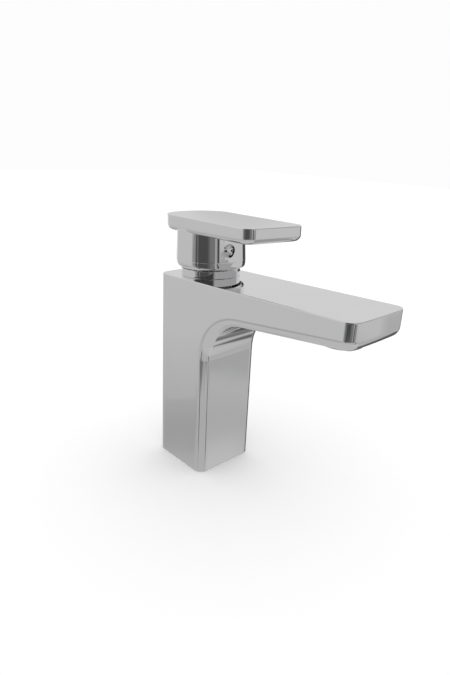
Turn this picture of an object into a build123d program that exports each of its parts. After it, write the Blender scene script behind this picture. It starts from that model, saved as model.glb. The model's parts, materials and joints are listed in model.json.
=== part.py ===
from build123d import *

import os
from math import cos, radians, sin, sqrt, tan

# Single-lever basin mixer: a square column with a flat spout, and a lever handle that works a
# ceramic disc cartridge. Millimetres, +Z up, the spout points along -Y, and the origin is the
# centre of the column's foot.

# ---------------------------------------------------------------- driving dimensions: body
BODY_WIDTH = 48.0
BODY_DEPTH = 48.0
TOP_HEIGHT = 134.4            # top face, on the column's centre line
TOP_SLOPE = 2.35              # degrees, the top face climbs towards the spout's tip
SPOUT_REACH = 131.2           # centre line of the column to the tip
TIP_BOW = 0.9                 # how far the tip's front face bulges
UNDERSIDE_HEIGHT = 111.3      # underside of the spout, carried back to the column's front face
UNDERSIDE_SLOPE = 6.85        # degrees
THROAT_RADIUS = 31.0          # inside corner between column and spout
REAR_CORNER = 7.0
TIP_CORNER = 6.5
LOWER_EDGE = 6.3              # column's front edges, throat and underside, one continuous round
TOP_EDGE = 0.7
FOOT_EDGE = 0.5

# ---------------------------------------------------------------- driving dimensions: water
AXIS_FORWARD = 1.2            # the cartridge's axis lies this far in front of the column's
CHAMBER_RADIUS = 17.5         # bore that holds a 35 mm cartridge
CHAMBER_DEPTH = 29.0
NUT_THREAD_RADIUS = 18.5      # M37 thread at the mouth of the bore
NUT_THREAD_DEPTH = 6.0
FOOT_WALL = 4.0
FOOT_CAVITY_HEIGHT = 99.0
INLET_BLOCK_BOTTOM = 84.0     # the block that carries the tapped holes fills the cavity's upper end
INLET_RADIUS = 5.0            # M10 x 1 hose thread
INLET_DEPTH = 12.0
INLET_SPACING = 16.0
PORT_RADIUS = 2.6
PORT_FORWARD = 4.5            # inlets lie this far in front of the cartridge's axis
OUTLET_BACK = 6.5             # outlet port lies this far behind it
STUD_RADIUS = 4.0             # M8 fixing stud
STUD_DEPTH = 13.0
STUD_BACK = 11.0
AERATOR_RADIUS = 12.0         # M24 x 1 thread
AERATOR_FORWARD = 108.5
AERATOR_RIM = 118.4           # height of the aerator's lower rim
AERATOR_SEAT = 127.5          # height of the ledge that the aerator's washer presses on
CORE_WALL = 3.0               # metal above and below the spout's waterway

# ---------------------------------------------------------------- driving dimensions: handle
HANDLE_TURN = -10.3           # degrees about the cartridge's axis, as the mixer is drawn
LIFT_ANGLE = 17.0             # full travel of the lever
MIX_ANGLE = 45.0              # travel to each side of straight ahead
LEVER_TOP = 37.9              # above the body's top face
LEVER_REAR = 33.7
LEVER_FRONT = 69.8
LEVER_REAR_HALF = 22.5
LEVER_FRONT_HALF = 20.3
LEVER_REAR_CORNER = 19.9
LEVER_FRONT_CORNER = 7.6
LEVER_REAR_DEPTH = 10.2
LEVER_FRONT_DEPTH = 8.8
LEVER_LOWER_EDGE = 3.6
LEVER_TOP_EDGE = 0.6
HUB_FOOT = 5.8                # gap between the hub and the body's top face
HUB_FOOT_RADIUS = 22.9
HUB_TOP_RADIUS = 22.1
HUB_FRONT_ROUND = 1.3
HUB_REAR_ROUND = 5.2          # deep round that clears the body when the lever is lifted
HUB_CAVITY_RADIUS = 20.2
HUB_CAVITY_TOP = 25.0
CAP_HEIGHT = 18.2
CAP_RADIUS = 4.3

# ---------------------------------------------------------------- cartridge levels, from the top face
PIN_LEVEL = 5.0
ARM = 9.0                     # pin to ball
FIT = 0.3                     # gap left between pieces that move past each other
PIN_RADIUS = 1.5
BASE_TOP = -21.8
FIXED_DISC_TOP = -17.8
MOVING_DISC_BOTTOM = -17.7
MOVING_DISC_TOP = -13.7
CARRIER_TOP = -11.4
TURRET_BOTTOM = -11.1
FLANGE_TOP = -8.8
SHOULDER = -6.0
HOUSING_TOP = 8.0
TURRET_TOP = 10.4

PARTS_FOLDER = "parts"

# ---------------------------------------------------------------- planes
# The cartridge stands square on the sloping top face. The handle is drawn turned about its axis.
cartridge_normal = (0, sin(radians(TOP_SLOPE)), cos(radians(TOP_SLOPE)))
cartridge_origin = (0, -AXIS_FORWARD, TOP_HEIGHT + AXIS_FORWARD * tan(radians(TOP_SLOPE)))
cartridge_plane = Plane(origin=cartridge_origin, x_dir=(1, 0, 0), z_dir=cartridge_normal)
handle_plane = Plane(cartridge_plane.location * Rotation(0, 0, HANDLE_TURN))
# The handle's middle plane: local x runs to the rear, local y up the cartridge's axis.
handle_side_plane = Plane(origin=handle_plane.origin, x_dir=handle_plane.y_dir, z_dir=handle_plane.x_dir)
# Planes square to the pivot pin, to the ball below it, and to the set screw that faces the front.
ball_level = PIN_LEVEL - ARM
pin_plane = Plane(origin=handle_plane.offset(PIN_LEVEL).origin, z_dir=handle_plane.x_dir)
ball_plane = Plane(origin=handle_plane.offset(ball_level).origin, z_dir=handle_plane.x_dir)
screw_plane = Plane(
    origin=handle_plane.offset(CAP_HEIGHT).origin, x_dir=handle_plane.x_dir, z_dir=-handle_plane.y_dir
)


def disc(plane, low, high, radius, centre=(0, 0), mode=Mode.ADD):
    """A round disc or bore in the current part, between two levels of a plane."""
    with BuildSketch(plane.offset(low)) as outline:
        with Locations(centre):
            Circle(radius)
    extrude(outline.sketch, amount=high - low, mode=mode)


def ring(plane, low, high, outer, inner, mode=Mode.ADD):
    """A flat ring in the current part, between two levels of a plane."""
    with BuildSketch(plane.offset(low)) as outline:
        Circle(outer)
        Circle(inner, mode=Mode.SUBTRACT)
    extrude(outline.sketch, amount=high - low, mode=mode)


def block(plane, low, high, across, rear, front, mode=Mode.ADD):
    """A rectangular block: half width across, and its rear and front ends along local y."""
    with BuildSketch(plane.offset(low)) as outline:
        with Locations((0, (rear + front) / 2)):
            Rectangle(2 * across, rear - front)
    extrude(outline.sketch, amount=high - low, mode=mode)


def sector(plane, low, high, radius, half_angle, mode=Mode.ADD):
    """A wedge of a disc, centred on local +y."""
    side = radius * sin(radians(half_angle))
    rear = radius * cos(radians(half_angle))
    with BuildSketch(plane.offset(low)) as outline:
        with BuildLine():
            Polyline((side, rear), (0, 0), (-side, rear))
            ThreePointArc((-side, rear), (0, radius), (side, rear))
        make_face()
    extrude(outline.sketch, amount=high - low, mode=mode)


def rod(plane, half_length, radius, mode=Mode.ADD):
    """A round rod or bore that reaches equally far to both sides of a plane."""
    with BuildSketch(plane) as outline:
        Circle(radius)
    extrude(outline.sketch, amount=half_length, both=True, mode=mode)


def save(part, name):
    """Label a finished piece and write it as its own file."""
    part.label = name
    export_step(part, os.path.join(PARTS_FOLDER, name + ".step"))


os.makedirs(PARTS_FOLDER, exist_ok=True)

half_width = BODY_WIDTH / 2
half_depth = BODY_DEPTH / 2
foot_inner = BODY_WIDTH - 2 * FOOT_WALL


def top_height(y):
    """Height of the body's sloping top face at a place along the spout."""
    return TOP_HEIGHT - y * tan(radians(TOP_SLOPE))


def underside_height(y):
    """Height of the spout's sloping underside at a place along the spout."""
    return UNDERSIDE_HEIGHT + (-half_depth - y) * tan(radians(UNDERSIDE_SLOPE))


def hub_radius(level):
    """Radius of the handle's tapered hub at a level above the body's top face."""
    share = (level - HUB_FOOT) / (LEVER_TOP - LEVER_REAR_DEPTH - HUB_FOOT)
    return HUB_FOOT_RADIUS + share * (HUB_TOP_RADIUS - HUB_FOOT_RADIUS)


def round_inset(radius, height):
    """How far a rounded foot edge lies inside the wall at a height above the foot."""
    if height >= radius:
        return 0.0
    return radius - sqrt(radius**2 - (radius - height) ** 2)


# ================================================================ spout body
GASKET_OUTER = 44.4
GASKET_INNER = 37.0
GASKET_HEIGHT = 2.5
GASKET_CORNER = 5.0
FOOT_CAVITY_CORNER = 4.0
CORE_BACK = -33.0             # waterway in the spout: rear end, start of the rise, and front end
CORE_RISE = -90.0
CORE_LEDGE = -97.0
CORE_FRONT = -116.0
CORE_HALF_WIDTH = 19.5
LEDGE_THICKNESS = 1.5
LEDGE_BORE = 8.5
OUTLET_RADIUS = 5.0
OUTLET_START = (0, -13.7, 109.6)
OUTLET_CLIMB = 22.0
OUTLET_LENGTH = 26.0
outlet_plane = Plane(
    origin=OUTLET_START, z_dir=(0, -cos(radians(OUTLET_CLIMB)), sin(radians(OUTLET_CLIMB)))
)
aerator_plane = Plane(origin=(0, -AERATOR_FORWARD, 0))
# The ports meet the cartridge's ports on the sloping floor of the chamber.
inlet_y = (
    -AXIS_FORWARD - PORT_FORWARD * cos(radians(TOP_SLOPE)) - CHAMBER_DEPTH * sin(radians(TOP_SLOPE))
)
inlet_places = [(-INLET_SPACING / 2, inlet_y), (INLET_SPACING / 2, inlet_y)]

with BuildPart() as spout_body:
    with BuildSketch(Plane.YZ) as side_profile:
        with BuildLine():
            Polyline(
                (half_depth, 0),
                (half_depth, top_height(half_depth)),
                (-SPOUT_REACH, top_height(-SPOUT_REACH)),
                (-SPOUT_REACH, underside_height(-SPOUT_REACH)),
                (-half_depth, UNDERSIDE_HEIGHT),
                (-half_depth, 0),
                close=True,
            )
        make_face()
        throat = side_profile.vertices().sort_by_distance((-half_depth, UNDERSIDE_HEIGHT))[0]
        fillet(throat, THROAT_RADIUS)
    extrude(amount=half_width, both=True)
    # The tip's front face bulges a little in plan.
    with BuildSketch() as plan:
        with BuildLine():
            ThreePointArc(
                (-half_width, TIP_BOW - SPOUT_REACH), (0, -SPOUT_REACH), (half_width, TIP_BOW - SPOUT_REACH)
            )
            Polyline(
                (half_width, TIP_BOW - SPOUT_REACH),
                (half_width, half_depth),
                (-half_width, half_depth),
                (-half_width, TIP_BOW - SPOUT_REACH),
            )
        make_face()
    extrude(amount=2 * TOP_HEIGHT, mode=Mode.INTERSECT)

    upright = spout_body.edges().filter_by(Axis.Z).group_by(Axis.Y)
    fillet(upright[0], TIP_CORNER)
    fillet(spout_body.edges().filter_by(Axis.Z).group_by(Axis.Y)[-1], REAR_CORNER)

    # The column's front, the throat and the underside share one round along their outer edges.
    lower_skin = spout_body.faces().filter_by(
        lambda face: abs(face.center().X) < 1 and face.normal_at().Y < -0.05 and face.normal_at().Z < 0.01
    )
    tip_face = spout_body.faces().sort_by(Axis.Y)[0]
    lower_skin = lower_skin.filter_by(lambda face: face.distance_to(tip_face) > 0 or face.normal_at().Z < -0.9)
    lower_edges = lower_skin.edges().filter_by(Axis.X, reverse=True)
    fillet(lower_edges, LOWER_EDGE)
    top_face = spout_body.faces().sort_by(Axis.Z)[-1]
    fillet(top_face.edges(), TOP_EDGE)
    foot_face = spout_body.faces().sort_by(Axis.Z)[0]
    fillet(foot_face.edges(), FOOT_EDGE)

    # Chamber for the cartridge, with the nut's thread at its mouth.
    disc(cartridge_plane, -CHAMBER_DEPTH, 1, CHAMBER_RADIUS, mode=Mode.SUBTRACT)
    disc(cartridge_plane, -NUT_THREAD_DEPTH, 1, NUT_THREAD_RADIUS, mode=Mode.SUBTRACT)

    # Hollow foot for the hoses, with a rebate that takes the gasket.
    with BuildSketch(Plane.XY):
        RectangleRounded(foot_inner, foot_inner, FOOT_CAVITY_CORNER)
    extrude(amount=FOOT_CAVITY_HEIGHT, mode=Mode.SUBTRACT)
    with BuildSketch(Plane.XY):
        RectangleRounded(GASKET_OUTER, GASKET_OUTER, GASKET_CORNER)
    extrude(amount=GASKET_HEIGHT, mode=Mode.SUBTRACT)
    for place in inlet_places:
        disc(Plane.XY, FOOT_CAVITY_HEIGHT, TOP_HEIGHT - CHAMBER_DEPTH + 1, PORT_RADIUS, place, Mode.SUBTRACT)

    # Waterway: out of the chamber's front wall, along the spout, and into the aerator's seat.
    with BuildSketch(outlet_plane):
        Circle(OUTLET_RADIUS)
    extrude(amount=OUTLET_LENGTH, mode=Mode.SUBTRACT)
    with BuildSketch(Plane.YZ):
        with BuildLine():
            Polyline(
                (CORE_BACK, underside_height(CORE_BACK) + CORE_WALL),
                (CORE_BACK, top_height(CORE_BACK) - CORE_WALL),
                (CORE_FRONT, top_height(CORE_FRONT) - CORE_WALL),
                (CORE_FRONT, AERATOR_SEAT + LEDGE_THICKNESS),
                (CORE_LEDGE, AERATOR_SEAT + LEDGE_THICKNESS),
                (CORE_RISE, underside_height(CORE_RISE) + CORE_WALL),
                close=True,
            )
        make_face()
    extrude(amount=CORE_HALF_WIDTH, both=True, mode=Mode.SUBTRACT)
    disc(aerator_plane, AERATOR_RIM, AERATOR_SEAT, AERATOR_RADIUS, mode=Mode.SUBTRACT)
    disc(aerator_plane, AERATOR_SEAT, AERATOR_SEAT + LEDGE_THICKNESS, LEDGE_BORE, mode=Mode.SUBTRACT)
save(spout_body.part, "spout_body")

# ================================================================ inlet block
# Brazed into the top of the foot's cavity. It holds the hose tails and the fixing stud.
with BuildPart() as inlet_block:
    with BuildSketch(Plane.XY.offset(INLET_BLOCK_BOTTOM)):
        RectangleRounded(foot_inner, foot_inner, FOOT_CAVITY_CORNER)
    extrude(amount=FOOT_CAVITY_HEIGHT - INLET_BLOCK_BOTTOM)
    for place in inlet_places:
        disc(Plane.XY, INLET_BLOCK_BOTTOM, INLET_BLOCK_BOTTOM + INLET_DEPTH, INLET_RADIUS, place,
             Mode.SUBTRACT)
        disc(Plane.XY, INLET_BLOCK_BOTTOM, FOOT_CAVITY_HEIGHT, PORT_RADIUS, place, Mode.SUBTRACT)
    disc(Plane.XY, INLET_BLOCK_BOTTOM, INLET_BLOCK_BOTTOM + STUD_DEPTH, STUD_RADIUS, (0, STUD_BACK),
         Mode.SUBTRACT)
save(inlet_block.part, "inlet_block")

# ================================================================ foot gasket
with BuildPart() as foot_gasket:
    with BuildSketch(Plane.XY):
        RectangleRounded(GASKET_OUTER, GASKET_OUTER, GASKET_CORNER)
        RectangleRounded(GASKET_INNER, GASKET_INNER, GASKET_CORNER - 2, mode=Mode.SUBTRACT)
    extrude(amount=GASKET_HEIGHT)
save(foot_gasket.part, "foot_gasket")

# ================================================================ cartridge base
# The two inlets come up through it. Mixed water comes down through the outlet pocket and leaves
# by the slot in its rear wall, into the space round the cartridge.
BASE_RADIUS = 16.4
SEAL_MAJOR = 4.2
SEAL_MINOR = 0.7
OUTLET_POCKET_RADIUS = 3.0
OUTLET_POCKET_DEPTH = 5.2
port_places = [(-INLET_SPACING / 2, -PORT_FORWARD), (INLET_SPACING / 2, -PORT_FORWARD)]
outlet_place = (0, OUTLET_BACK)


def seal_groove(low, place):
    """Cut the round groove of a face seal, between its lower level and the height of the seal."""
    with BuildSketch(cartridge_plane.offset(low)) as outline:
        with Locations(place):
            Circle(SEAL_MAJOR + SEAL_MINOR)
            Circle(SEAL_MAJOR - SEAL_MINOR, mode=Mode.SUBTRACT)
    extrude(outline.sketch, amount=2 * SEAL_MINOR, mode=Mode.SUBTRACT)


def seals(low, places):
    """O-rings that lie in face grooves whose lower level is given."""
    level_plane = cartridge_plane.offset(low + SEAL_MINOR)
    with BuildPart() as rings:
        with Locations(*[level_plane.location * Location((x, y, 0)) for x, y in places]):
            Torus(SEAL_MAJOR, SEAL_MINOR)
    return rings.part


with BuildPart() as cartridge_base:
    disc(cartridge_plane, -CHAMBER_DEPTH, BASE_TOP, BASE_RADIUS)
    for place in port_places:
        disc(cartridge_plane, -CHAMBER_DEPTH, BASE_TOP, PORT_RADIUS, place, Mode.SUBTRACT)
        seal_groove(-CHAMBER_DEPTH, place)
    for place in [*port_places, outlet_place]:
        seal_groove(BASE_TOP - 2 * SEAL_MINOR, place)
    disc(cartridge_plane, BASE_TOP - OUTLET_POCKET_DEPTH, BASE_TOP, OUTLET_POCKET_RADIUS, outlet_place,
         Mode.SUBTRACT)
    block(cartridge_plane, BASE_TOP - OUTLET_POCKET_DEPTH, BASE_TOP - 2, OUTLET_POCKET_RADIUS,
          BASE_RADIUS + 1, OUTLET_BACK, Mode.SUBTRACT)
save(cartridge_base.part, "cartridge_base")

# ================================================================ O-rings between the discs, base and body
save(seals(-CHAMBER_DEPTH, port_places), "inlet_seals")
save(seals(BASE_TOP - 2 * SEAL_MINOR, [*port_places, outlet_place]), "disc_seals")

# ================================================================ ceramic discs
FIXED_DISC_RADIUS = 15.2
MOVING_DISC_RADIUS = 12.6
DISC_BACK = 1.6               # the moving disc sits this far behind the axis while the water is off
MIXING_POCKET = (19.0, 11.2)
MIXING_POCKET_CORNER = 4.0
MIXING_POCKET_DEPTH = 2.2
MIXING_POCKET_BACK = 4.0

with BuildPart() as fixed_disc:
    disc(cartridge_plane, BASE_TOP, FIXED_DISC_TOP, FIXED_DISC_RADIUS)
    for place in [*port_places, outlet_place]:
        disc(cartridge_plane, BASE_TOP, FIXED_DISC_TOP, PORT_RADIUS, place, Mode.SUBTRACT)
save(fixed_disc.part, "fixed_disc")

with BuildPart() as moving_disc:
    disc(handle_plane, MOVING_DISC_BOTTOM, MOVING_DISC_TOP, MOVING_DISC_RADIUS, (0, DISC_BACK))
    with BuildSketch(handle_plane.offset(MOVING_DISC_BOTTOM)):
        with Locations((0, MIXING_POCKET_BACK)):
            RectangleRounded(*MIXING_POCKET, MIXING_POCKET_CORNER)
    extrude(amount=MIXING_POCKET_DEPTH, mode=Mode.SUBTRACT)
save(moving_disc.part, "moving_disc")

# ================================================================ disc carrier
# Its boss holds the ball of the lever's stem, and slides in the turret.
CARRIER_RADIUS = 12.2
BOSS_RADIUS = 6.2
BOSS_TOP = -1.2
BALL_RADIUS = 2.6
BALL_HALF_LENGTH = 2.8
SOCKET_HALF = (3.2, 2.95)

with BuildPart() as disc_carrier:
    disc(handle_plane, MOVING_DISC_TOP, CARRIER_TOP, CARRIER_RADIUS, (0, DISC_BACK))
    disc(handle_plane, CARRIER_TOP, BOSS_TOP, BOSS_RADIUS)
    block(handle_plane, ball_level - BALL_RADIUS - 1, BOSS_TOP, SOCKET_HALF[0], SOCKET_HALF[1],
          -SOCKET_HALF[1], Mode.SUBTRACT)
save(disc_carrier.part, "disc_carrier")

# ================================================================ cartridge housing
HOUSING_RADIUS = 16.4
BAND_RADIUS = 17.3
BAND_BOTTOM = -13.0
NECK_RADIUS = 14.7
HOUSING_BORE = 15.4
CEILING = -8.5
BARREL_BORE = 12.8
BARREL_CEILING = 6.0
HOUSING_MOUTH = 11.4
ORING_MINOR = 0.8
ORING_LEVEL = -7.6
ORING_MAJOR = CHAMBER_RADIUS - ORING_MINOR

with BuildPart() as cartridge_housing:
    disc(cartridge_plane, BASE_TOP, BAND_BOTTOM, HOUSING_RADIUS)
    disc(cartridge_plane, BAND_BOTTOM, SHOULDER, BAND_RADIUS)
    disc(cartridge_plane, SHOULDER, HOUSING_TOP, NECK_RADIUS)
    disc(cartridge_plane, BASE_TOP, CEILING, HOUSING_BORE, mode=Mode.SUBTRACT)
    disc(cartridge_plane, CEILING, BARREL_CEILING, BARREL_BORE, mode=Mode.SUBTRACT)
    disc(cartridge_plane, BARREL_CEILING, HOUSING_TOP, HOUSING_MOUTH, mode=Mode.SUBTRACT)
    ring(cartridge_plane, ORING_LEVEL - ORING_MINOR, ORING_LEVEL + ORING_MINOR, CHAMBER_RADIUS,
         ORING_MAJOR - ORING_MINOR, Mode.SUBTRACT)
save(cartridge_housing.part, "cartridge_housing")

with BuildPart() as housing_oring:
    with Locations(cartridge_plane.offset(ORING_LEVEL).location):
        Torus(ORING_MAJOR, ORING_MINOR)
save(housing_oring.part, "housing_oring")

# ================================================================ temperature limit ring
# Sits on the housing. The turret's tab runs in its notch and stops at both ends of the mix.
LIMIT_RING_TOP = 9.8
LIMIT_RING_OUTER = 14.2
LIMIT_RING_INNER = 11.5
LIMIT_NOTCH_RADIUS = 13.4
TAB_RADIUS = 13.0
TAB_HALF_ANGLE = 8.0
TAB_GAP = 1.5                 # degrees left at each stop

with BuildPart() as limit_ring:
    ring(cartridge_plane, HOUSING_TOP, LIMIT_RING_TOP, LIMIT_RING_OUTER, LIMIT_RING_INNER)
    sector(cartridge_plane, HOUSING_TOP, LIMIT_RING_TOP, LIMIT_NOTCH_RADIUS,
           MIX_ANGLE + TAB_HALF_ANGLE + TAB_GAP, Mode.SUBTRACT)
save(limit_ring.part, "temperature_limit_ring")

# ================================================================ turret
TURRET_FLANGE_RADIUS = 15.0
TURRET_BARREL_RADIUS = 12.5
TURRET_NECK_RADIUS = 11.1
BARREL_TOP = 5.7
STEM_SLOT_HALF = (4.3, 7.2)
PIN_HALF_LENGTH = 10.8
disc_travel = ARM * radians(LIFT_ANGLE)

with BuildPart() as turret:
    disc(handle_plane, TURRET_BOTTOM, FLANGE_TOP, TURRET_FLANGE_RADIUS)
    disc(handle_plane, FLANGE_TOP, BARREL_TOP, TURRET_BARREL_RADIUS)
    disc(handle_plane, BARREL_TOP, TURRET_TOP, TURRET_NECK_RADIUS)
    sector(handle_plane, HOUSING_TOP + FIT, LIMIT_RING_TOP - FIT, TAB_RADIUS, TAB_HALF_ANGLE)
    block(handle_plane, TURRET_BOTTOM, TURRET_TOP, STEM_SLOT_HALF[0], STEM_SLOT_HALF[1],
          -STEM_SLOT_HALF[1], Mode.SUBTRACT)
    block(handle_plane, TURRET_BOTTOM, BOSS_TOP + FIT, BOSS_RADIUS + FIT, BOSS_RADIUS + FIT,
          -BOSS_RADIUS - disc_travel - FIT, Mode.SUBTRACT)
    rod(pin_plane, PIN_HALF_LENGTH, PIN_RADIUS, Mode.SUBTRACT)
save(turret.part, "turret")

with BuildPart() as pivot_pin:
    rod(pin_plane, PIN_HALF_LENGTH, PIN_RADIUS)
save(pivot_pin.part, "pivot_pin")

# ================================================================ lever stem
STEM_HALF = 4.0
STEM_TOP = 23.5
PIVOT_EYE_RADIUS = 4.2
PIN_CLEARANCE = 0.05
STEM_NECK_HALF = (2.5, 1.7)

with BuildPart() as lever_stem:
    block(handle_plane, PIN_LEVEL, STEM_TOP, STEM_HALF, STEM_HALF, -STEM_HALF)
    chamfer(lever_stem.faces().sort_by(Axis.Z)[-1].edges(), 0.8)
    block(handle_plane, ball_level, PIN_LEVEL, STEM_NECK_HALF[0], STEM_NECK_HALF[1], -STEM_NECK_HALF[1])
    rod(pin_plane, STEM_HALF, PIVOT_EYE_RADIUS)
    rod(ball_plane, BALL_HALF_LENGTH, BALL_RADIUS)
    rod(pin_plane, STEM_HALF, PIN_RADIUS + PIN_CLEARANCE, Mode.SUBTRACT)
save(lever_stem.part, "lever_stem")

# ================================================================ cartridge nut and trim collar
NUT_NECK_RADIUS = 16.6
NUT_NECK_TOP = 3.9
NUT_BORE = 15.0
SPANNER_SLOTS = 6
SPANNER_SLOT_WIDTH = 3.0
SPANNER_SLOT_DEPTH = 1.6
COLLAR_RADIUS = 19.4
COLLAR_TOP = 5.2
COLLAR_BORE = 16.9
COLLAR_LIP_BORE = 15.2
COLLAR_LIP = 1.1
COLLAR_EDGE = 0.5
COLLAR_ORING_MINOR = 0.5
COLLAR_ORING_LEVEL = 1.6
COLLAR_ORING_MAJOR = COLLAR_BORE - COLLAR_ORING_MINOR

with BuildPart() as cartridge_nut:
    disc(cartridge_plane, SHOULDER, -FIT, NUT_THREAD_RADIUS)
    disc(cartridge_plane, -FIT, NUT_NECK_TOP, NUT_NECK_RADIUS)
    disc(cartridge_plane, SHOULDER, NUT_NECK_TOP, NUT_BORE, mode=Mode.SUBTRACT)
    ring(cartridge_plane, COLLAR_ORING_LEVEL - COLLAR_ORING_MINOR, COLLAR_ORING_LEVEL + COLLAR_ORING_MINOR,
         COLLAR_BORE, COLLAR_ORING_MAJOR - COLLAR_ORING_MINOR, Mode.SUBTRACT)
    with BuildSketch(cartridge_plane.offset(NUT_NECK_TOP - SPANNER_SLOT_DEPTH)):
        with PolarLocations(NUT_NECK_RADIUS, SPANNER_SLOTS):
            Rectangle(NUT_NECK_RADIUS - NUT_BORE + 3, SPANNER_SLOT_WIDTH)
    extrude(amount=SPANNER_SLOT_DEPTH, mode=Mode.SUBTRACT)
save(cartridge_nut.part, "cartridge_nut")

with BuildPart() as collar:
    disc(cartridge_plane, 0, COLLAR_TOP, COLLAR_RADIUS)
    fillet(collar.edges().filter_by(GeomType.CIRCLE), COLLAR_EDGE)
    disc(cartridge_plane, 0, COLLAR_TOP - COLLAR_LIP, COLLAR_BORE, mode=Mode.SUBTRACT)
    disc(cartridge_plane, 0, COLLAR_TOP, COLLAR_LIP_BORE, mode=Mode.SUBTRACT)
save(collar.part, "collar")

with BuildPart() as collar_oring:
    with Locations(cartridge_plane.offset(COLLAR_ORING_LEVEL).location):
        Torus(COLLAR_ORING_MAJOR, COLLAR_ORING_MINOR)
save(collar_oring.part, "collar_oring")

# ================================================================ handle
STEM_BOSS_RADIUS = 8.5
STEM_BOSS_BOTTOM = 15.2
SCREW_RIB_HALF = 6.5
SCREW_RIB_BOTTOM = 13.2
SCREW_RADIUS = 2.5            # M5 set screw
CAP_SEAT = 18.6               # floor of the cap's bore, from the axis
HUB_JOINT = 30.0              # level inside the lever plate where the hub's drum ends
ROUND_STEPS = 9               # levels that shape the hub's rounded foot

with BuildPart() as handle:
    with BuildSketch(handle_plane.offset(LEVER_TOP)) as lever_outline:
        with BuildLine():
            Polyline(
                (-LEVER_REAR_HALF, LEVER_REAR),
                (LEVER_REAR_HALF, LEVER_REAR),
                (LEVER_FRONT_HALF, -LEVER_FRONT),
                (-LEVER_FRONT_HALF, -LEVER_FRONT),
                close=True,
            )
        make_face()
        fillet(lever_outline.vertices().sort_by(Axis.Y)[-2:], LEVER_REAR_CORNER)
        fillet(lever_outline.vertices().sort_by(Axis.Y)[:2], LEVER_FRONT_CORNER)
    extrude(amount=-LEVER_REAR_DEPTH)
    with BuildSketch(handle_side_plane):
        with BuildLine():
            Polyline(
                (LEVER_REAR, LEVER_TOP),
                (LEVER_REAR, LEVER_TOP - LEVER_REAR_DEPTH),
                (-LEVER_FRONT, LEVER_TOP - LEVER_FRONT_DEPTH),
                (-LEVER_FRONT, LEVER_TOP),
                close=True,
            )
        make_face()
    extrude(amount=LEVER_REAR_HALF, both=True, mode=Mode.INTERSECT)
    fillet(handle.faces().sort_by(Axis.Z)[0].edges(), LEVER_LOWER_EDGE)
    fillet(handle.faces().sort_by(Axis.Z)[-1].edges(), LEVER_TOP_EDGE)

    # Hub: a slightly tapered drum whose foot is rounded more and more towards the rear.
    for level in [HUB_FOOT + HUB_REAR_ROUND, HUB_JOINT]:
        with BuildSketch(handle_plane.offset(level)):
            Circle(hub_radius(level))
    loft()
    for step in range(ROUND_STEPS + 1):
        height = HUB_REAR_ROUND * (1 - cos(radians(90 * step / ROUND_STEPS)))
        front_inset = round_inset(HUB_FRONT_ROUND, height)
        rear_inset = round_inset(HUB_REAR_ROUND, height)
        with BuildSketch(handle_plane.offset(HUB_FOOT + height)):
            with Locations((0, (front_inset - rear_inset) / 2)):
                Circle(hub_radius(HUB_FOOT + height) - (front_inset + rear_inset) / 2)
    loft()

    # Inside the hub: the cavity over the cartridge, and the boss and rib that carry stem and screw.
    disc(handle_plane, HUB_FOOT - 1, HUB_CAVITY_TOP, HUB_CAVITY_RADIUS, mode=Mode.SUBTRACT)
    disc(handle_plane, STEM_BOSS_BOTTOM, HUB_CAVITY_TOP, STEM_BOSS_RADIUS)
    block(handle_plane, SCREW_RIB_BOTTOM, HUB_CAVITY_TOP, SCREW_RIB_HALF, 0, -HUB_CAVITY_RADIUS)
    block(handle_plane, SCREW_RIB_BOTTOM - 1, STEM_TOP, STEM_HALF, STEM_HALF, -STEM_HALF, Mode.SUBTRACT)
    disc(screw_plane, 0, CAP_SEAT, SCREW_RADIUS, mode=Mode.SUBTRACT)
    disc(screw_plane, CAP_SEAT, HUB_FOOT_RADIUS + 1, CAP_RADIUS, mode=Mode.SUBTRACT)
save(handle.part, "handle")

# ================================================================ set screw, its cap and the index marks
SCREW_OUTER_END = 13.0
HEX_SOCKET_RADIUS = 1.45      # 2.5 mm key
HEX_SOCKET_DEPTH = 3.0
CAP_FLANGE = 0.8
CAP_STEM_RADIUS = 3.8
CAP_CROWN = 21.9              # crown of the cap's dome, from the axis
CAP_DOME_HEIGHT = 0.9
MARK_RADIUS = 0.75
MARK_SIDE = 1.95
MARK_DEPTH = 0.6

with BuildPart() as set_screw:
    disc(screw_plane, STEM_HALF, SCREW_OUTER_END, SCREW_RADIUS)
    chamfer(set_screw.edges().filter_by(GeomType.CIRCLE), 0.4)
    with BuildSketch(screw_plane.offset(SCREW_OUTER_END - HEX_SOCKET_DEPTH)):
        RegularPolygon(HEX_SOCKET_RADIUS, 6)
    extrude(amount=HEX_SOCKET_DEPTH, mode=Mode.SUBTRACT)
save(set_screw.part, "set_screw")

dome_radius = (CAP_STEM_RADIUS**2 + CAP_DOME_HEIGHT**2) / (2 * CAP_DOME_HEIGHT)
dome_centre = screw_plane.offset(CAP_CROWN - dome_radius).location

with BuildPart() as screw_cap:
    disc(screw_plane, CAP_SEAT, CAP_SEAT + CAP_FLANGE, CAP_RADIUS)
    disc(screw_plane, CAP_SEAT + CAP_FLANGE, CAP_CROWN, CAP_STEM_RADIUS)
    with Locations(dome_centre):
        Sphere(dome_radius, mode=Mode.INTERSECT)
    for side in (-MARK_SIDE, MARK_SIDE):
        disc(screw_plane, CAP_CROWN - MARK_DEPTH, CAP_CROWN, MARK_RADIUS, (side, 0), Mode.SUBTRACT)
save(screw_cap.part, "screw_cap")

with BuildPart() as index_marks:
    for side in (-MARK_SIDE, MARK_SIDE):
        disc(screw_plane, CAP_CROWN - MARK_DEPTH, CAP_CROWN, MARK_RADIUS, (side, 0))
    with Locations(dome_centre):
        Sphere(dome_radius, mode=Mode.INTERSECT)
save(index_marks.part, "index_marks")

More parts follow.
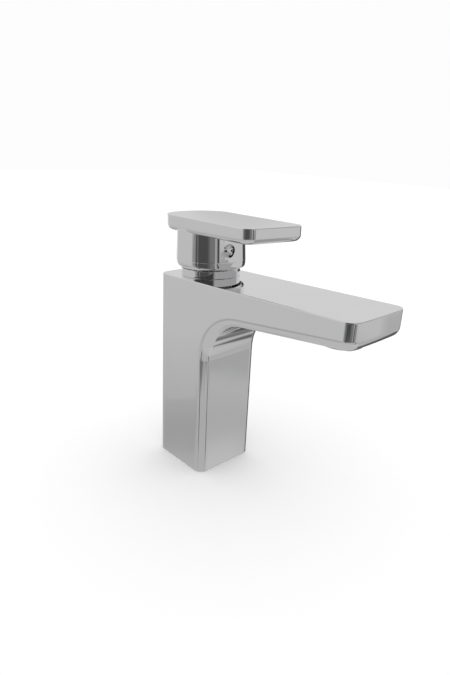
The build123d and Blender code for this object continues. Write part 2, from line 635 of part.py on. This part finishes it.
# ================================================================ aerator
AERATOR_RING_TOP = 125.7
AERATOR_BORE = 10.4
AERATOR_LIP_RADIUS = 9.6
AERATOR_LIP_TOP = 120.6
AERATOR_RIM_EDGE = 0.6
INSERT_TOP = 124.6
JET_RADIUS = 1.0
JET_PITCH = 2.6
JET_COUNT = 7
MESH_RADIUS = 0.55
MESH_PITCH = 1.6
MESH_COUNT = 9
WASHER_BORE = 9.0


def hex_holes(low, high, radius, pitch, count, limit):
    """A round field of small holes in a hexagonal pattern."""
    with BuildSketch(aerator_plane.offset(low)) as holes:
        with HexLocations(pitch / 2, count, count, major_radius=False):
            Circle(radius)
        Circle(limit, mode=Mode.INTERSECT)
    extrude(holes.sketch, amount=high - low, mode=Mode.SUBTRACT)


with BuildPart() as aerator_housing:
    disc(aerator_plane, AERATOR_RIM, AERATOR_RING_TOP, AERATOR_RADIUS)
    fillet(aerator_housing.edges().sort_by(Axis.Z)[0], AERATOR_RIM_EDGE)
    disc(aerator_plane, AERATOR_LIP_TOP, AERATOR_RING_TOP, AERATOR_BORE, mode=Mode.SUBTRACT)
    disc(aerator_plane, AERATOR_RIM, AERATOR_LIP_TOP, AERATOR_LIP_RADIUS, mode=Mode.SUBTRACT)
save(aerator_housing.part, "aerator_housing")

with BuildPart() as jet_insert:
    disc(aerator_plane, AERATOR_LIP_TOP, INSERT_TOP, AERATOR_BORE)
    hex_holes(AERATOR_LIP_TOP, INSERT_TOP, JET_RADIUS, JET_PITCH, JET_COUNT, AERATOR_LIP_RADIUS - 1)
save(jet_insert.part, "aerator_insert")

with BuildPart() as filter_screen:
    disc(aerator_plane, INSERT_TOP, AERATOR_RING_TOP, AERATOR_BORE)
    hex_holes(INSERT_TOP, AERATOR_RING_TOP, MESH_RADIUS, MESH_PITCH, MESH_COUNT, AERATOR_LIP_RADIUS - 1)
save(filter_screen.part, "aerator_screen")

with BuildPart() as aerator_washer:
    ring(aerator_plane, AERATOR_RING_TOP, AERATOR_SEAT, AERATOR_RADIUS, WASHER_BORE)
save(aerator_washer.part, "aerator_washer")
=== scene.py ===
import json
import math

import bpy
from mathutils import Matrix, Vector

# Looks of a chrome single-lever basin mixer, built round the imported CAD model. Metres, +Z up.

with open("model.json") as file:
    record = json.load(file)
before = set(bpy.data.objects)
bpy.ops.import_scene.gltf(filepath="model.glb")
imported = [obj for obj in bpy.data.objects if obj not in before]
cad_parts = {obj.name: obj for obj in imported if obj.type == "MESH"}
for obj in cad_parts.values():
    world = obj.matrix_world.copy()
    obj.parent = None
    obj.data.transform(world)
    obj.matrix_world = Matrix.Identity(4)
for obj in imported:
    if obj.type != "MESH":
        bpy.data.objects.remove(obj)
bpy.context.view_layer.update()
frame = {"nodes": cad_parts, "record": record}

# ---------------------------------------------------------------- camera
CAMERA_PLACE = (-0.2291, -0.2600, 0.2175)
CAMERA_YAW = -43.40           # degrees, from the +Y direction, positive to the left
CAMERA_PITCH = -20.31
CAMERA_ROLL = 2.61
FOCAL_LENGTH = 28.34          # millimetres, on a frame 36 mm tall

# ---------------------------------------------------------------- studio
FLOOR_SIZE = 6.0
BACKDROP = 0.98
SOFT_LIGHT = 1.12             # what lights the floor and the matt pieces
CHROME_REFLECTANCE = 0.90
EDGE_WANDER = 2.0             # degrees
EDGE_WANDER_SCALE = 5.0
FLOOR_LOW = (0.945, 0.945, 0.945)
FLOOR_HIGH = (0.955, 0.955, 0.955)

# ---------------------------------------------------------------- chrome
BRIGHT_CHROME = (0.90, 0.90, 0.91)
DULL_CHROME = (0.87, 0.87, 0.88)
# Painted highlight: the lighter colour laid on the chrome's convex edges.
EDGE_HIGHLIGHT_CHROME = (0.93, 0.92, 0.90, 1)
EDGE_RADIUS = 0.0006          # how far from an edge the painted highlight reaches
EDGE_SHARPNESS = 0.25         # how much the normal turns before an edge counts as one
CLOUD_SCALE = 55.0            # noise scales are in cells per metre
HAZE_SCALE = 160.0


def clear_material(name):
    """A new node material with only its output and a Principled shader."""
    material = bpy.data.materials.new(name)
    material.use_nodes = True
    nodes = material.node_tree.nodes
    shader = next(node for node in nodes if node.type == "BSDF_PRINCIPLED")
    return material, nodes, material.node_tree.links, shader


def object_noise(nodes, links, scale, detail=2.0, roughness=0.5, stretch=(1, 1, 1)):
    """Noise fixed to the object, which sits at the frame's origin."""
    place = nodes.new("ShaderNodeTexCoord")
    mapping = nodes.new("ShaderNodeMapping")
    mapping.inputs["Scale"].default_value = stretch
    noise = nodes.new("ShaderNodeTexNoise")
    noise.inputs["Scale"].default_value = scale
    noise.inputs["Detail"].default_value = detail
    noise.inputs["Roughness"].default_value = roughness
    links.new(place.outputs["Object"], mapping.inputs["Vector"])
    links.new(mapping.outputs["Vector"], noise.inputs["Vector"])
    return noise


def remap(nodes, links, source, low, high, from_low=0.3, from_high=0.7):
    """Stretch a value to a new range."""
    node = nodes.new("ShaderNodeMapRange")
    node.inputs["From Min"].default_value = from_low
    node.inputs["From Max"].default_value = from_high
    node.inputs["To Min"].default_value = low
    node.inputs["To Max"].default_value = high
    links.new(source, node.inputs["Value"])
    return node.outputs["Result"]


def colour_between(nodes, links, factor, first, second):
    """Mix two colours by a factor."""
    mix = nodes.new("ShaderNodeMix")
    mix.data_type = "RGBA"
    mix.inputs["A"].default_value = (*first, 1)
    mix.inputs["B"].default_value = (*second, 1)
    links.new(factor, mix.inputs["Factor"])
    return mix.outputs["Result"]


def edge_mask(nodes, links, radius, sharpness):
    """1 on convex edges, 0 on flat stretches, from the difference that a bevel makes to the normal."""
    bevel = nodes.new("ShaderNodeBevel")
    bevel.samples = 4
    bevel.inputs["Radius"].default_value = radius
    geometry = nodes.new("ShaderNodeNewGeometry")
    dot = nodes.new("ShaderNodeVectorMath")
    dot.operation = "DOT_PRODUCT"
    links.new(bevel.outputs["Normal"], dot.inputs[0])
    links.new(geometry.outputs["Normal"], dot.inputs[1])
    return remap(nodes, links, dot.outputs["Value"], 1.0, 0.0, 1.0 - sharpness, 1.0)


def add_bump(nodes, links, shader, height, strength, distance):
    """Bump from a height value."""
    bump = nodes.new("ShaderNodeBump")
    bump.inputs["Strength"].default_value = strength
    bump.inputs["Distance"].default_value = distance
    links.new(height, bump.inputs["Height"])
    links.new(bump.outputs["Normal"], shader.inputs["Normal"])


# ---------------------------------------------------------------- materials
def chrome(name, bright, dull, gloss_range, ripple_depth, ripple_scale):
    """Polished chrome: faint cloudiness in colour and gloss, a slow ripple, a painted highlight on the convex
    edges.
    """
    material, nodes, links, shader = clear_material(name)
    shader.inputs["Metallic"].default_value = 1.0
    cloud = object_noise(nodes, links, CLOUD_SCALE, 3.0)
    clean = colour_between(nodes, links, cloud.outputs["Fac"], dull, bright)
    # Painted highlight: the convex edges take a lighter colour than the rest of the chrome.
    highlighted_edges = nodes.new("ShaderNodeMix")
    highlighted_edges.data_type = "RGBA"
    highlighted_edges.inputs["B"].default_value = EDGE_HIGHLIGHT_CHROME
    links.new(clean, highlighted_edges.inputs["A"])
    links.new(edge_mask(nodes, links, EDGE_RADIUS, EDGE_SHARPNESS), highlighted_edges.inputs["Factor"])
    links.new(highlighted_edges.outputs["Result"], shader.inputs["Base Color"])
    haze = object_noise(nodes, links, HAZE_SCALE, 4.0)
    gloss = remap(nodes, links, haze.outputs["Fac"], *gloss_range)
    links.new(gloss, shader.inputs["Roughness"])
    ripple = object_noise(nodes, links, ripple_scale, 1.0)
    add_bump(nodes, links, shader, ripple.outputs["Fac"], 1.0, ripple_depth)
    return material


def moulded(name, colour, shade, roughness, grain=900.0):
    """Moulded plastic: fine grain, slight mottling."""
    material, nodes, links, shader = clear_material(name)
    cloud = object_noise(nodes, links, 120.0, 3.0)
    mottled = colour_between(nodes, links, cloud.outputs["Fac"], shade, colour)
    links.new(mottled, shader.inputs["Base Color"])
    skin = object_noise(nodes, links, grain, 3.0)
    links.new(remap(nodes, links, skin.outputs["Fac"], roughness - 0.06, roughness + 0.1),
              shader.inputs["Roughness"])
    add_bump(nodes, links, shader, skin.outputs["Fac"], 0.25, 0.0002)
    return material


def rubber(name):
    """Black rubber with a dusty bloom."""
    material, nodes, links, shader = clear_material(name)
    bloom = object_noise(nodes, links, 260.0, 5.0, 0.6)
    black = (0.012, 0.012, 0.012)
    dusty = (0.045, 0.044, 0.042)
    links.new(colour_between(nodes, links, bloom.outputs["Fac"], black, dusty), shader.inputs["Base Color"])
    links.new(remap(nodes, links, bloom.outputs["Fac"], 0.5, 0.8), shader.inputs["Roughness"])
    add_bump(nodes, links, shader, bloom.outputs["Fac"], 0.3, 0.0002)
    return material


def turned_metal(name, bright, dull, roughness, rings):
    """Turned metal: fine rings about the vertical, with tarnish."""
    material, nodes, links, shader = clear_material(name)
    shader.inputs["Metallic"].default_value = 1.0
    tarnish = object_noise(nodes, links, 90.0, 4.0)
    tarnished = colour_between(nodes, links, tarnish.outputs["Fac"], dull, bright)
    links.new(tarnished, shader.inputs["Base Color"])
    lines = object_noise(nodes, links, rings, 2.0, 0.5, (0.05, 0.05, 1.0))
    links.new(remap(nodes, links, lines.outputs["Fac"], roughness - 0.08, roughness + 0.1),
              shader.inputs["Roughness"])
    add_bump(nodes, links, shader, lines.outputs["Fac"], 0.3, 0.0001)
    return material


def ceramic(name):
    """Lapped alumina: off-white, very smooth."""
    material, nodes, links, shader = clear_material(name)
    speckle = object_noise(nodes, links, 700.0, 2.0)
    cream = (0.80, 0.79, 0.75)
    white = (0.88, 0.88, 0.86)
    links.new(colour_between(nodes, links, speckle.outputs["Fac"], cream, white), shader.inputs["Base Color"])
    links.new(remap(nodes, links, speckle.outputs["Fac"], 0.12, 0.2), shader.inputs["Roughness"])
    add_bump(nodes, links, shader, speckle.outputs["Fac"], 0.1, 0.0001)
    return material


MATERIALS = {
    "chrome_body": chrome("chrome_body", BRIGHT_CHROME, DULL_CHROME, (0.02, 0.045), 0.00002, 28.0),
    "chrome_handle": chrome("chrome_handle", BRIGHT_CHROME, DULL_CHROME, (0.02, 0.045), 0.00002, 34.0),
    "chrome_trim": chrome("chrome_trim", (0.88, 0.88, 0.89), (0.84, 0.84, 0.85), (0.03, 0.06), 0.00001, 60.0),
    "brass": turned_metal("brass", (0.76, 0.58, 0.30), (0.58, 0.42, 0.20), 0.32, 2600.0),
    "steel": turned_metal("steel", (0.66, 0.66, 0.67), (0.52, 0.52, 0.53), 0.28, 3000.0),
    "ceramic": ceramic("ceramic"),
    "cartridge_plastic": moulded("cartridge_plastic", (0.80, 0.80, 0.78), (0.70, 0.70, 0.68), 0.42),
    "turret_plastic": moulded("turret_plastic", (0.075, 0.08, 0.09), (0.04, 0.045, 0.05), 0.45),
    "limit_plastic": moulded("limit_plastic", (0.52, 0.03, 0.025), (0.38, 0.02, 0.018), 0.4),
    "aerator_plastic": moulded("aerator_plastic", (0.62, 0.63, 0.64), (0.5, 0.51, 0.52), 0.35),
    "mark_plastic": moulded("mark_plastic", (0.03, 0.03, 0.03), (0.015, 0.015, 0.015), 0.25),
    "rubber": rubber("rubber"),
}

slot_of = {part["node"]: part["material_slot"] for part in frame["record"]["subparts"]}
for node, piece in frame["nodes"].items():
    material = MATERIALS[slot_of[node]]
    piece.data.materials.clear()
    piece.data.materials.append(material)


# ---------------------------------------------------------------- floor and studio
def studio_floor():
    """A plain pale floor. The chrome doesn't see it: its reflections come from the studio map."""
    half = FLOOR_SIZE / 2
    mesh = bpy.data.meshes.new("studio_floor")
    corners = [(-half, -half, 0), (half, -half, 0), (half, half, 0), (-half, half, 0)]
    mesh.from_pydata(corners, [], [(0, 1, 2, 3)])
    floor = bpy.data.objects.new("studio_floor", mesh)
    bpy.context.scene.collection.objects.link(floor)
    material, nodes, links, shader = clear_material("studio_floor")
    shader.inputs["Specular IOR Level"].default_value = 0.0
    shader.inputs["Roughness"].default_value = 0.9
    paper = object_noise(nodes, links, 3.0, 4.0)
    pale = colour_between(nodes, links, paper.outputs["Fac"], FLOOR_LOW, FLOOR_HIGH)
    links.new(pale, shader.inputs["Base Color"])
    mesh.materials.append(material)
    floor.visible_glossy = False


def linear(shown):
    """Scene-linear value of a display grey from 0 to 1, by the sRGB curve."""
    return ((shown + 0.055) / 1.055) ** 2.4


def calculate(nodes, links, operation, first, second=None):
    """One math node. Its operands are sockets or numbers."""
    node = nodes.new("ShaderNodeMath")
    node.operation = operation
    for socket, value in zip(node.inputs, (first, second)):
        if value is None:
            continue
        if isinstance(value, (int, float)):
            socket.default_value = value
        else:
            links.new(value, socket)
    return node.outputs["Value"]


def soft_step(nodes, links, value, edge, soft, rising):
    """0 to 1 across an edge, or 1 to 0."""
    node = nodes.new("ShaderNodeMapRange")
    node.interpolation_type = "SMOOTHSTEP"
    node.inputs["From Min"].default_value = edge - soft
    node.inputs["From Max"].default_value = edge + soft
    node.inputs["To Min"].default_value = 0.0 if rising else 1.0
    node.inputs["To Max"].default_value = 1.0 if rising else 0.0
    links.new(value, node.inputs["Value"])
    return node.outputs["Result"]


def between(nodes, links, value, low, high, soft):
    """1 where a value lies between two limits, with soft margins."""
    rise = soft_step(nodes, links, value, low, soft, True)
    fall = soft_step(nodes, links, value, high, soft, False)
    return calculate(nodes, links, "MULTIPLY", rise, fall)


# What the chrome sees, as display greys. Elevation above the horizon, degrees.
STUDIO_BANDS = [
    (-90, 0.71),
    (-45, 0.71),
    (-38, 0.71),
    (-34, 0.68),
    (-29, 0.66),
    (-20, 0.725),
    (-5, 0.735),
    (8, 0.75),
    (20, 0.79),
    (45, 0.78),
    (90, 0.75),
]

# Dark and bright things round the studio. Bearing from +Y towards +X from 0 to 360, and
# elevation, degrees; then the grey and how soft the sides and the ends are, degrees.
STUDIO_PATCHES = [
    (205, 290, 5, 70, 0.22, 8, 3),          # unlit room behind the camera
    (100, 205, 5, 70, 0.62, 8, 3),          # its lighter side
    (300, 336, -32.5, -26.6, 0.645, 10, 0.5),  # far side of the table, seen in the column's side
    (300, 336, -32.5, -28.5, 0.615, 10, 2),
    (126, 165, -26, -20, 0.635, 10, 2),     # seen in the column's front below the throat
    (130, 170, -50, -33, 0.735, 10, 3),
    (95, 119.5, -24, -15, 0.66, 2.5, 2),
    (176, 284, -24, -3, 0.53, 5, 3),        # the photographer's side
    (236, 256, -24, -2, 0.40, 5, 3),
    (205, 263, -20, 2, 0.28, 1.5, 1.5),     # dark panel
    (203, 226, -20, 2, 0.44, 9, 1.5),       # its lighter end
    (265, 272, -24, 2, 0.30, 1.5, 2),       # dark line beside it
    (203, 208, -21, 2, 0.64, 1, 2),         # light strip
    (192, 200, -24, 2, 0.28, 1, 2),
    (258, 265, -34, -22, 0.20, 2, 3),       # two legs of a stand, seen in the column's round edge
    (165, 172, -34, -23, 0.28, 2, 3),
    (106, 117, -46, -37, 0.38, 3, 2),       # seen in the throat
    (56, 84, -50, -38, 0.34, 4, 3),
    (84, 100, -54, -44, 0.44, 4, 3),
    (60, 100, -42, -18, 0.34, 6, 3),        # seen in the column's far front edge
    (67, 92, -18, -3, 0.26, 2, 2),
    (45, 66, -18, -3, 0.12, 1, 2),
    (8, 40, -17, -2, 0.90, 3, 2),
    (10, 90, 4, 40, 0.805, 12, 3),          # bright wall behind
]


def make_studio():
    """World map: soft bands with the patches laid over them. Only reflections see it."""
    world = bpy.data.worlds.new("studio")
    bpy.context.scene.world = world
    world.use_nodes = True
    nodes = world.node_tree.nodes
    links = world.node_tree.links
    nodes.clear()
    direction = nodes.new("ShaderNodeTexCoord")
    split = nodes.new("ShaderNodeSeparateXYZ")
    links.new(direction.outputs["Generated"], split.inputs["Vector"])
    turn = calculate(nodes, links, "ARCTAN2", split.outputs["X"], split.outputs["Y"])
    turn = calculate(nodes, links, "MULTIPLY", turn, 180 / math.pi)
    turn = calculate(nodes, links, "WRAP", turn, 360.0)
    climb = calculate(nodes, links, "ARCSINE", split.outputs["Z"])
    climb = calculate(nodes, links, "MULTIPLY", climb, 180 / math.pi)

    # Edges in a real room are never straight: a slow noise bends them.
    wander = nodes.new("ShaderNodeTexNoise")
    wander.inputs["Scale"].default_value = EDGE_WANDER_SCALE
    wander.inputs["Detail"].default_value = 2.0
    links.new(direction.outputs["Generated"], wander.inputs["Vector"])
    offsets = nodes.new("ShaderNodeSeparateColor")
    links.new(wander.outputs["Color"], offsets.inputs["Color"])
    turn_offset = remap(nodes, links, offsets.outputs["Red"], -EDGE_WANDER, EDGE_WANDER)
    climb_offset = remap(nodes, links, offsets.outputs["Green"], -EDGE_WANDER, EDGE_WANDER)
    bent_turn = calculate(nodes, links, "ADD", turn, turn_offset)
    bent_climb = calculate(nodes, links, "ADD", climb, climb_offset)

    ramp_node = nodes.new("ShaderNodeValToRGB")
    links.new(remap(nodes, links, climb, 0.0, 1.0, -90.0, 90.0), ramp_node.inputs["Fac"])
    ramp = ramp_node.color_ramp
    while len(ramp.elements) < len(STUDIO_BANDS):
        ramp.elements.new(0.5)
    for element, (elevation, shown) in zip(ramp.elements, STUDIO_BANDS):
        grey = linear(shown) / CHROME_REFLECTANCE
        element.position = (elevation + 90) / 180
        element.color = (grey, grey, grey, 1)
    total = ramp_node.outputs["Color"]

    for first, last, low, high, shown, side_soft, end_soft in STUDIO_PATCHES:
        across = between(nodes, links, bent_turn, first, last, side_soft)
        upright = between(nodes, links, bent_climb, low, high, end_soft)
        grey = linear(shown) / CHROME_REFLECTANCE
        mix = nodes.new("ShaderNodeMix")
        mix.data_type = "RGBA"
        mix.inputs["B"].default_value = (grey, grey, grey, 1)
        links.new(calculate(nodes, links, "MULTIPLY", across, upright), mix.inputs["Factor"])
        links.new(total, mix.inputs["A"])
        total = mix.outputs["Result"]

    reflected = nodes.new("ShaderNodeBackground")
    links.new(total, reflected.inputs["Color"])
    backdrop = nodes.new("ShaderNodeBackground")
    backdrop.inputs["Color"].default_value = (BACKDROP, BACKDROP, BACKDROP, 1)
    soft_light = nodes.new("ShaderNodeBackground")
    soft_light.inputs["Color"].default_value = (SOFT_LIGHT, SOFT_LIGHT, SOFT_LIGHT, 1)
    rays = nodes.new("ShaderNodeLightPath")
    unseen = nodes.new("ShaderNodeMixShader")
    links.new(rays.outputs["Is Glossy Ray"], unseen.inputs["Fac"])
    links.new(soft_light.outputs["Background"], unseen.inputs[1])
    links.new(reflected.outputs["Background"], unseen.inputs[2])
    seen = nodes.new("ShaderNodeMixShader")
    links.new(rays.outputs["Is Camera Ray"], seen.inputs["Fac"])
    links.new(unseen.outputs["Shader"], seen.inputs[1])
    links.new(backdrop.outputs["Background"], seen.inputs[2])
    output = nodes.new("ShaderNodeOutputWorld")
    links.new(seen.outputs["Shader"], output.inputs["Surface"])


studio_floor()
make_studio()


# ---------------------------------------------------------------- camera
def make_camera():
    """The camera stands in front of the mixer's left side and looks down on it."""
    data = bpy.data.cameras.new("camera")
    data.sensor_width = 36.0
    data.lens = FOCAL_LENGTH
    data.clip_start = 0.01
    camera = bpy.data.objects.new("camera", data)
    bpy.context.scene.collection.objects.link(camera)
    turn = Matrix.Rotation(math.radians(CAMERA_YAW), 4, "Z")
    tilt = Matrix.Rotation(math.radians(90 + CAMERA_PITCH), 4, "X")
    roll = Matrix.Rotation(math.radians(CAMERA_ROLL), 4, "Z")
    camera.matrix_world = Matrix.Translation(Vector(CAMERA_PLACE)) @ turn @ tilt @ roll
    bpy.context.scene.camera = camera


make_camera()
bpy.context.scene.view_settings.view_transform = "Standard"
